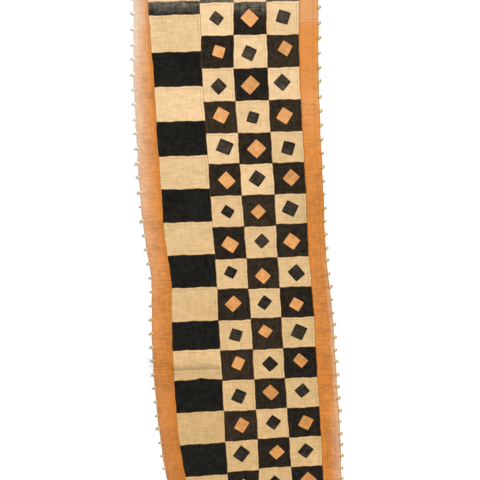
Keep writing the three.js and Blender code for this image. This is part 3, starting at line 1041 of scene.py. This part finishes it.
def strand_tree():
    """A tree that makes tapering strands along lines."""
    numbers = dict.fromkeys(("Radius", "Taper", "Spacing"), "Float")
    graph, given, identifiers = new_tree("strands", {**numbers, "Sides": "Int", "Material": "Material"})
    along = Value(graph, graph.out("GeometryNodeSplineParameter"))
    width = 1.0 - along * Value(graph, given["Taper"])
    values = {"Curve": even_curve(graph, given), "Radius": width}
    line = graph.out("GeometryNodeSetCurveRadius", values=values)
    end_tree(graph, tube(graph, line, given["Radius"], given["Sides"]), given["Material"])
    return graph.tree, identifiers


TREES = {"stitches": stitch_tree, "bobbles": bobble_tree, "strands": strand_tree}
made_trees = {}


def grow(source, tree_name, name, material, **inputs):
    """Runs a tree on an object and keeps the result as a plain mesh under a new name."""
    if tree_name not in made_trees:
        made_trees[tree_name] = TREES[tree_name]()
    tree, identifiers = made_trees[tree_name]
    modifier = source.modifiers.new(tree_name, "NODES")
    modifier.node_group = tree
    modifier[identifiers["Material"]] = get_material(material)
    for key, value in inputs.items():
        modifier[identifiers[key.replace("_", " ")]] = value
    evaluated = source.evaluated_get(bpy.context.evaluated_depsgraph_get())
    mesh = bpy.data.meshes.new_from_object(evaluated)
    source.modifiers.remove(modifier)
    bpy.data.objects.remove(source)
    if not mesh.polygons:
        raise RuntimeError(f"{name} came out empty")
    mesh.name = name
    return link(name, mesh)


def sew(lines, name, strand, slot, sizes, spacing, length, turn, stray=0.25, rise=0.35):
    """Stitches along lines as one piece. rise is in millimetres, and turn and stray are in radians."""
    inputs = {
        "Spacing": spacing,
        "Length": length,
        "Strand_radius": sizes.thread,
        "Rise": rise * MM,
        "Turn": turn,
        "Stray": stray,
        "Seed": sizes.seed,
    }
    return stand_for(grow(lines.build(name + "_lines"), "stitches", name, strand, **inputs), [])


# Operators, one for the stage and one for each piece or group of like pieces


class RAFFIA_OT_stage(bpy.types.Operator):
    """Make the camera, the pale floor and the soft light"""

    bl_idname = "raffia.stage"
    bl_label = "Stage"

    TILT = math.radians(6.3)
    DISTANCE = 3.2
    LOOKS_AT = (-0.55 * MM, 18.03 * MM)
    SENSOR = 36
    FOCAL_SHARE = 889 / 480  # focal length as a share of the picture's width
    FLOOR_HALF, FLOOR_BELOW = 8.0, -0.2 * MM
    SKY, SKY_STRENGTH = (0.97, 0.985, 1.0, 1), 0.64
    LAMP_STRENGTH, LAMP_SPREAD, LAMP_FROM = 2.87, math.radians(20), (0.7, 0.85, 1.05)

    def execute(self, context):
        scene = context.scene
        camera = bpy.data.cameras.new("camera")
        camera.sensor_width = self.SENSOR
        camera.lens = self.SENSOR * self.FOCAL_SHARE
        camera.clip_end = 50
        eye = link("camera", camera)
        x, y = self.LOOKS_AT
        eye.location = (x, y + self.DISTANCE * math.sin(self.TILT), self.DISTANCE * math.cos(self.TILT))
        eye.rotation_euler = (-self.TILT, 0, 0)
        scene.camera = eye

        half, below = self.FLOOR_HALF, self.FLOOR_BELOW
        corners = [(-half, -half, below), (half, -half, below), (half, half, below), (-half, half, below)]
        mesh = bpy.data.meshes.new("floor")
        mesh.from_pydata(corners, [], [(0, 1, 2, 3)])
        floor = link("floor", mesh)
        material, graph = new_material("floor")
        place = graph.node("ShaderNodeTexCoord").outputs["Object"]
        shade = 1.0 + graph.noise(graph.scale(place, 1.5)) * 0.01
        base = graph.scale(rgba(scene.raffia_colours.floor), shade)
        normal = graph.bump(0.1, 0.1 * MM, graph.noise(graph.scale(place, 400.0)))
        finish_material(graph, base, normal, 0.9, 0.1)
        mesh.materials.append(material)

        world = bpy.data.worlds.new("studio")
        world.use_nodes = True
        colour_in, strength_in = world.node_tree.nodes["Background"].inputs[:2]
        colour_in.default_value, strength_in.default_value = self.SKY, self.SKY_STRENGTH
        scene.world = world
        lamp = bpy.data.lights.new("key", "SUN")
        lamp.energy, lamp.angle = self.LAMP_STRENGTH, self.LAMP_SPREAD
        link("key", lamp).rotation_euler = Vector(self.LAMP_FROM).to_track_quat("Z", "Y").to_euler()
        scene.view_settings.view_transform = "Standard"
        return {"FINISHED"}


class RAFFIA_OT_borders(bpy.types.Operator):
    """Make the two border strips with their hems and joins"""

    bl_idname = "raffia.borders"
    bl_label = "Borders"

    JOIN_WIDE, JOIN_HIGH = 5 * MM, 0.55 * MM  # half width of a join, and how far it stands up
    SUNK, SUNK_WIDE = 0.3 * MM, 0.8 * MM  # depth and width of the grooves that its sewing pulls
    CLOSE_LINES = 12  # mesh lines on each side of a join, 1 mm apart

    def execute(self, context):
        sizes = context.scene.raffia_sizes
        for place, name in zip(BORDERS, ("border_cloth_left", "border_cloth_right")):
            self.border(place, name, sizes)
        return {"FINISHED"}

    def border(self, place, name, sizes):
        """One border, with its wide hem outside, its seam inside and its joins across."""
        top, *joins, low = LAYOUT.cross_seams[place]
        patch = Patch(LAYOUT.long_seams[place], LAYOUT.long_seams[place + 1], top, low)
        width, length = patch.size()
        wide, slim = sizes.border_hem, sizes.hem_wide
        at_hem, at_seam = lines_near(wide, 9, 13), lines_near(slim)
        left_border = place == 0
        across = (at_hem, at_seam) if left_border else (at_seam, at_hem)
        across = steps_between(*across, width, sizes.grid)

        # Mesh lines down the border: close together near its ends and its joins, and evenly between
        ends = np.array([k * MM for k in (*RIM_LINES, 9, 11, 12, 13)])
        middle = float(patch.left(0) + patch.right(0)) / 2
        rows = set(np.round(np.arange(16 * MM, length - 16 * MM, sizes.grid), 5))
        close = self.CLOSE_LINES
        for join in joins:
            down = float(top(middle)) - float(join(middle))
            rows = {row for row in rows if abs(row - down) > (close + 1) * MM}
            rows |= set(np.round(down + np.arange(-close, close + 1) * MM, 5))
        rows = np.array(sorted(rows)) / length
        shares = np.concatenate([ends * 0, rows, ends * 0 + 1])
        x, y, sides = patch.place(across, (np.concatenate([ends, rows * 0, -ends[::-1]]), shares))

        outer, inner = (sides[0], sides[1]) if left_border else (sides[1], sides[0])
        slim_rim = np.minimum.reduce([inner, sides[2], sides[3]])
        thick = np.maximum(hemmed(outer, wide, sizes), hemmed(slim_rim, slim, sizes))
        # Darker towards the lower end of the left border
        stain = stain_and_shade_at(x, y) + 0.45 * eased((-0.3 - y) / 0.1) * left_border
        for join in joins:
            away = np.abs(y - join(x))
            thick = thick + self.JOIN_HIGH * (1 - eased((away - self.JOIN_WIDE) / HEM_FALL))
            thick = thick - self.SUNK * bell(away - JOIN_REACH, self.SUNK_WIDE)
            # Painted shade along the foot of the raised join on each side
            stain = stain + 0.4 * bell(away - self.JOIN_WIDE, 1.4 * MM)
        pucker = noise_over(x, y, 150, 6.2) * 0.25 * MM * np.exp(-inner / (10 * MM))
        faces = two_faces(x, y, np.minimum.reduce(sides), thick, pucker, sizes)
        draw = random.Random(sizes.seed + place)
        numbers = {
            # The material draws a hem hem_wide from the rim, so the wide outer hem counts as that far
            "rim": np.minimum(inner, np.maximum(outer - (wide - slim), np.minimum(outer, 4 * MM))),
            "tone": -eased(1 - (inner - 5 * MM) / (7 * MM)),
            "bleach": light_and_bleach_at(x, y),
            "stain": stain,
        }
        mesh = ClothMesh()
        mesh.add(x, y, *faces, weave_map(sides, draw), **numbers)
        piece = mesh.build(name, "orange_cloth")
        stand_for(piece, [STRIPS[place]])


def is_dark(place, row):
    """Whether a patch of a pieced strip is black. The strips and their patches take turns."""
    return (row + place - BLOCKS) % 2 == 1


def pieced_strip(context, place, start, names, dark):
    """Makes a strip of patches as two pieces, the cream ones and those of a dark colour.

    start begins the random draws, which give each patch its tone and the place of its weave.
    """
    sizes = context.scene.raffia_sizes
    draw = random.Random(sizes.seed + start)
    patches = LAYOUT.patches(place)
    meshes = (ClothMesh(), ClothMesh())
    for row, patch in enumerate(patches):
        add_patch(meshes[is_dark(place, row)], patch, sizes, draw)
    width, _ = patches[len(patches) // 2].size()
    for name, tint, mesh in zip(names, ("cream", dark), meshes):
        piece = mesh.build(name, f"{tint}_cloth")
        stand_for(piece, [STRIPS[place]])


class RAFFIA_OT_blocks(bpy.types.Operator):
    """Make the strip of oblong blocks, cream and black by turns"""

    bl_idname = "raffia.blocks"
    bl_label = "Blocks"

    START = 539  # a start whose tones fall as they do on the real cloth

    def execute(self, context):
        pieced_strip(context, BLOCKS, self.START, ("blocks_cream", "blocks_black"), "black")
        return {"FINISHED"}


class RAFFIA_OT_squares(bpy.types.Operator):
    """Make the three strips of squares, set like a chequerboard"""

    bl_idname = "raffia.squares"
    bl_label = "Squares"

    STARTS = (2240, 3575, 3188)  # one for each strip, chosen in the same way as for the blocks

    def execute(self, context):
        for number, (place, start) in enumerate(zip(SQUARES, self.STARTS), 1):
            names = (f"squares_cream_{number}", f"squares_black_{number}")
            pieced_strip(context, place, start, names, "brown_black")
        return {"FINISHED"}


def diamond_names(dark):
    """The nodes of the dark or of the tan diamonds. The dark ones are on the cream squares."""
    names = []
    for place, letter in zip(SQUARES, "abc"):
        for row in range(len(LAYOUT.patches(place))):
            if is_dark(place, row) != dark:
                names.append(f"diamond_{row + 1:02d}_{letter}")
    return names


def diamond_corners(name, draw):
    """The corners of a diamond, each a little off as hand cutting leaves them."""
    middle, corners = read_diamond(name)
    drawn_in = middle + (corners - middle) * DRAWN_IN
    strays = [[draw.uniform(-STRAY, STRAY) for _ in range(2)] for _ in corners]
    return drawn_in + np.array(strays)


def field_top(x, y, sizes):
    """The face of the single layer of cloth in the middle of a patch."""
    return lie(x, y, sizes) + sizes.layer


class RAFFIA_OT_diamonds(bpy.types.Operator):
    """Make the small diamonds, their edges turned under, on the squares"""

    bl_idname = "raffia.diamonds"
    bl_label = "Diamonds"

    BOW = 0.6 * MM  # how far a turned side bows out
    TURNED = 4.5 * MM  # width of the turned edge
    ABOVE = 0.03 * MM  # between the diamond and its square
    THICK, LIFT = 0.62, 0.4  # of the single layer, and how much the turned edge adds, in mm
    STITCH = 2.6 * MM  # length of the stitches that hold it down
    STITCH_HIGH, STITCH_IN = 0.85 * MM, 0.5 * MM  # above the square, and inside the diamond's edge

    KINDS = (
        # Tint, colour of the squares under it, slot and sewing strand
        ("dark", "cream", "brown_black_raffia", "black_strand"),
        ("tan", "black", "tan_raffia", "tan_strand"),
    )
    STARTS = {"dark": 5671, "tan": 5430}  # of the random draws, chosen in the same way as for the blocks
    TONES = (-1, -0.7, -0.2, 0.3, 0.6, 0.8)
    SLANT = 1.2  # the stitches slant a little from square across the edge, in radians

    def execute(self, context):
        sizes = context.scene.raffia_sizes
        for tint, ground, slot, strand in self.KINDS:
            draw = random.Random(sizes.seed + self.STARTS[tint])
            mesh, lines = ClothMesh(), Lines()
            names = diamond_names(tint == "dark")
            for name in names:
                self.diamond(mesh, lines, diamond_corners(name, draw), sizes, draw)
            piece = mesh.build(f"diamonds_{tint}", "dark_diamond_cloth" if tint == "dark" else "tan_cloth")
            stand_for(piece, names)
            stitch = (sizes.diamond_spacing, self.STITCH, self.SLANT)
            sew(lines, f"stitches_{tint}_diamonds", strand, slot, sizes, *stitch, rise=0.3)
        return {"FINISHED"}

    def diamond(self, mesh, lines, corners, sizes, draw):
        """One diamond on its square, and the line that sews it down."""
        low_left, low_right, top_right, top_left = corners
        wide, long = np.linalg.norm(low_right - low_left), np.linalg.norm(top_left - low_left)
        near = [0, 0.3 * MM, 0.9 * MM, 2 * MM, self.TURNED - 0.4 * MM, self.TURNED + 0.8 * MM]
        steps = [(steps_between(near, near, whole, sizes.grid), whole) for whole in (wide, long)]
        s, t = [(fixed + share * whole) / whole for (fixed, share), whole in steps]
        t, s = np.meshgrid(1 - t, s, indexing="ij")
        bow_s = self.BOW / wide * (2 * s - 1) * (1 - (2 * t - 1) ** 2)
        bow_t = self.BOW / long * (2 * t - 1) * (1 - (2 * s - 1) ** 2)
        a, b = (s + bow_s)[..., None], (t + bow_t)[..., None]
        low, top = low_left * (1 - a) + low_right * a, top_left * (1 - a) + top_right * a
        x, y = np.moveaxis(low * (1 - b) + top * b, -1, 0)
        sides = (s * wide, (1 - s) * wide, (1 - t) * long, t * long)
        rim = np.minimum.reduce(sides)
        under = field_top(x, y, sizes) + self.ABOVE
        lifted = 1 - eased((rim - self.TURNED + 0.4 * MM) / (1.2 * MM))
        risen = edge_round(rim * 1.4)
        thick = (self.THICK + self.LIFT * lifted) * MM
        high = under + thick * (0.42 + 0.58 * risen)
        low = under + thick * 0.25 * (1 - risen)
        # The material draws a hem hem_wide from the rim, so the narrower turned edge counts as that far
        shown_rim = np.where(rim < 1 * MM, rim, rim + (sizes.hem_wide - self.TURNED))
        tone = draw.choice(self.TONES)
        mesh.add(x, y, low, high, weave_map(sides, draw), rim=shown_rim, tone=tone)
        for p, q in zip(corners, np.roll(corners, -1, axis=0)):
            span = np.linspace(0.05, 0.95, 7)[:, None]
            out = np.array([(q - p)[1], -(q - p)[0]]) / np.linalg.norm(q - p)
            bend = (self.BOW * (1 - (2 * span - 1) ** 2) - self.STITCH_IN) * out
            points = p * (1 - span) + q * span + bend
            x, y = points.T
            lines.add(x, y, field_top(x, y, sizes) + self.STITCH_HIGH)


class RAFFIA_OT_seams(bpy.types.Operator):
    """Sew the patches and the strips together with overcast stitches"""

    bl_idname = "raffia.seams"
    bl_label = "Seam stitches"

    STITCH = 3.6 * MM
    ACROSS = 1.15  # the stitches slant a little from square across the seam, in radians

    def execute(self, context):
        sizes = context.scene.raffia_sizes
        crown = sizes.layer + sizes.hem_lift
        lines = {"long": Lines(), "cross": Lines()}
        for number, seam in enumerate(LAYOUT.long_seams[1:-1], 1):
            y = LAYOUT.run_of_seam(number, 4 * MM, 6 * MM)
            x = seam(y)
            lines["long"].add(x, y, lie(x, y, sizes) + crown)
        for place in (BLOCKS, *SQUARES):
            for seam in LAYOUT.cross_seams[place][1:-1]:
                x = np.linspace(*LAYOUT.span_of_row(place, seam, 3 * MM), 20)
                y = seam(x)
                lines["cross"].add(x, y, lie(x, y, sizes) + crown)
        stitch = (sizes.seam_spacing, self.STITCH, self.ACROSS)
        for kind, line in lines.items():
            sew(line, f"stitches_{kind}_seams", "seam_strand", "orange_raffia", sizes, *stitch)
        return {"FINISHED"}


class RAFFIA_OT_hems(bpy.types.Operator):
    """Sew down the turned edges with small running stitches"""

    bl_idname = "raffia.hems"
    bl_label = "Hem stitches"

    STITCH = 2.7 * MM
    STRAY = 0.12  # how far a stitch turns off its line, in radians
    HIGH, INSIDE = 0.45 * MM, 0.6 * MM  # of the stitches, above the single layer and inside the hem's end
    OVER_JOIN = 0.4 * MM  # how much higher they lie on a border's join

    def execute(self, context):
        sizes = context.scene.raffia_sizes
        lines = {"cream": Lines(), "black": Lines(), "orange": Lines()}
        for place in (BLOCKS, *SQUARES):
            for row, patch in enumerate(LAYOUT.patches(place)):
                self.round_patch(lines["black" if is_dark(place, row) else "cream"], patch, sizes)
        for place in BORDERS:
            self.border_hem(lines["orange"], place, sizes)
        slots = {"cream": "cream_raffia", "black": "brown_black_raffia", "orange": "orange_raffia"}
        stitch = (sizes.hem_spacing, self.STITCH, 0.0, self.STRAY)
        for tint, line in lines.items():
            sew(line, f"stitches_{tint}_hems", f"{tint}_strand", slots[tint], sizes, *stitch)
        return {"FINISHED"}

    def round_patch(self, lines, patch, sizes):
        """Four lines just inside the turned edge of a patch."""
        inside = sizes.hem_wide - self.INSIDE
        height = sizes.layer + self.HIGH
        run = np.linspace(0, 1, 12)
        spread = inside * (1 - 2 * run), run
        for near, share in ((inside, 0.0), (-inside, 1.0)):
            one = np.array([near]), np.array([share])
            for across, down in ((spread, one), (one, spread)):
                x, y, _ = patch.place(across, down)
                x, y = x.ravel(), y.ravel()
                lines.add(x, y, lie(x, y, sizes) + height)

    def border_hem(self, lines, place, sizes):
        """The line inside a border's wide outer hem, and the lines of its joins."""
        number, inward = (0, 1) if place == 0 else (len(STRIPS), -1)
        height = sizes.layer + self.HIGH
        y = LAYOUT.run_of_seam(number, 10 * MM, 8 * MM)
        x = LAYOUT.long_seams[number](y) + inward * (sizes.border_hem - self.INSIDE)
        lines.add(x, y, lie(x, y, sizes) + height)
        for join in LAYOUT.cross_seams[place][1:-1]:
            x = np.linspace(*LAYOUT.span_of_row(place, join, 3 * MM), 12)
            for away in (-JOIN_REACH, JOIN_REACH):
                y = join(x) + away
                lines.add(x, y, lie(x, y, sizes) + height + self.OVER_JOIN)


class RAFFIA_OT_bobbles(bpy.types.Operator):
    """Make the two edgings: a narrow cord and the knotted tufts on it"""

    bl_idname = "raffia.bobbles"
    bl_label = "Bobble edgings"

    CORD = 0.95 * MM  # radius of the cord
    CLEAR, OUT = 0.15 * MM, 0.3 * MM  # from the border to the cord, and from the cord to a bobble's middle

    def execute(self, context):
        sizes = context.scene.raffia_sizes
        for name, number, outward in (("left", 0, -1), ("right", len(STRIPS), 1)):
            edge = LAYOUT.long_seams[number]
            node = f"bobbles_{name}"
            y = LAYOUT.run_of_seam(number, 3 * MM, 5 * MM)
            x = edge(y) + outward * (self.CORD + self.CLEAR)
            cord = Lines()
            cord.add(x, y, lie(x, y, sizes) + self.CORD)
            inputs = {"Radius": self.CORD, "Taper": 0.0, "Sides": 8, "Spacing": 5 * MM}
            source = cord.build(f"cord_line_{name}")
            piece = grow(source, "strands", f"edging_cord_{name}", "cord_strand", **inputs)
            stand_for(piece, [node])

            spots = Lines()
            for _, along, _ in read_bobbles(node):
                out = float(edge(along)) + outward * (2 * self.CORD + self.OUT)
                floor = float(lie(np.array(out), np.array(along), sizes))
                spots.points.append((out, along, floor + sizes.bobble * 0.95))
            inputs = {"Radius": sizes.bobble, "Outward": float(outward), "Seed": sizes.seed + outward}
            source = spots.build(f"bobble_spots_{name}")
            piece = grow(source, "bobbles", f"bobble_tufts_{name}", "bobble_strand", **inputs)
            stand_for(piece, [node])
        return {"FINISHED"}


class RAFFIA_OT_fibres(bpy.types.Operator):
    """Fray a few loose fibres out of the left edging"""

    bl_idname = "raffia.fibres"
    bl_label = "Loose fibres"

    COUNT, START = 56, 80  # of fibres, and of their random draws
    LOW, TOP = -0.50, -0.415  # the fibres come out of the edge between these places along the cloth
    HEADINGS = (140, 215)  # in degrees, where 180 is straight out of the edge
    STEPS, STEP, BEND = (8, 24), 2 * MM, 0.4  # fewest and most steps of a fibre, their length and bend

    def execute(self, context):
        sizes = context.scene.raffia_sizes
        draw = random.Random(sizes.seed + self.START)
        edge = LAYOUT.long_seams[0]
        lines = Lines()
        for _ in range(self.COUNT):
            y = draw.uniform(self.LOW, self.TOP)
            x = float(edge(y)) - 1 * MM
            heading = math.radians(draw.uniform(*self.HEADINGS))
            points = [(x, y, 1.4 * MM)]
            for step in range(draw.randrange(*self.STEPS)):
                heading += draw.uniform(-self.BEND, self.BEND)
                x += self.STEP * math.cos(heading)
                y += self.STEP * math.sin(heading)
                points.append((x, y, 0.4 * MM + 2.4 * MM * abs(math.sin(step * 0.4))))
            lines.add(*np.array(points).T)
        inputs = {"Radius": 0.17 * MM, "Taper": 0.7, "Sides": 4, "Spacing": 1.2 * MM}
        piece = grow(lines.build("fibre_lines"), "strands", "loose_fibres", "fibre_strand", **inputs)
        stand_for(piece, [])
        return {"FINISHED"}


class RAFFIA_PT_panel(bpy.types.Panel):
    """Lists the steps that make the cloth"""

    bl_idname = "RAFFIA_PT_panel"
    bl_label = "Pieced raffia cloth"
    bl_space_type = "VIEW_3D"
    bl_region_type = "UI"
    bl_category = "Raffia"

    def draw(self, context):
        for step in STEPS:
            self.layout.operator(step.bl_idname)
        for group in (context.scene.raffia_sizes, context.scene.raffia_colours):
            for name in group.bl_rna.properties.keys():
                if name not in ("rna_type", "name"):
                    self.layout.prop(group, name)


STEPS = (
    RAFFIA_OT_stage,
    RAFFIA_OT_borders,
    RAFFIA_OT_blocks,
    RAFFIA_OT_squares,
    RAFFIA_OT_diamonds,
    RAFFIA_OT_seams,
    RAFFIA_OT_hems,
    RAFFIA_OT_bobbles,
    RAFFIA_OT_fibres,
)
CLASSES = (RaffiaSizes, RaffiaColours, *STEPS, RAFFIA_PT_panel)


def register():
    """Adds the settings, the steps and the panel."""
    for cls in CLASSES:
        bpy.utils.register_class(cls)
    bpy.types.Scene.raffia_sizes = bpy.props.PointerProperty(type=RaffiaSizes)
    bpy.types.Scene.raffia_colours = bpy.props.PointerProperty(type=RaffiaColours)


def unregister():
    """Takes them away again."""
    del bpy.types.Scene.raffia_colours
    del bpy.types.Scene.raffia_sizes
    for cls in reversed(CLASSES):
        bpy.utils.unregister_class(cls)


def main():
    """Makes the stage and every piece."""
    register()
    for step in STEPS:
        group, name = step.bl_idname.split(".")
        getattr(getattr(bpy.ops, group), name)()


if __name__ == "__main__":
    main()
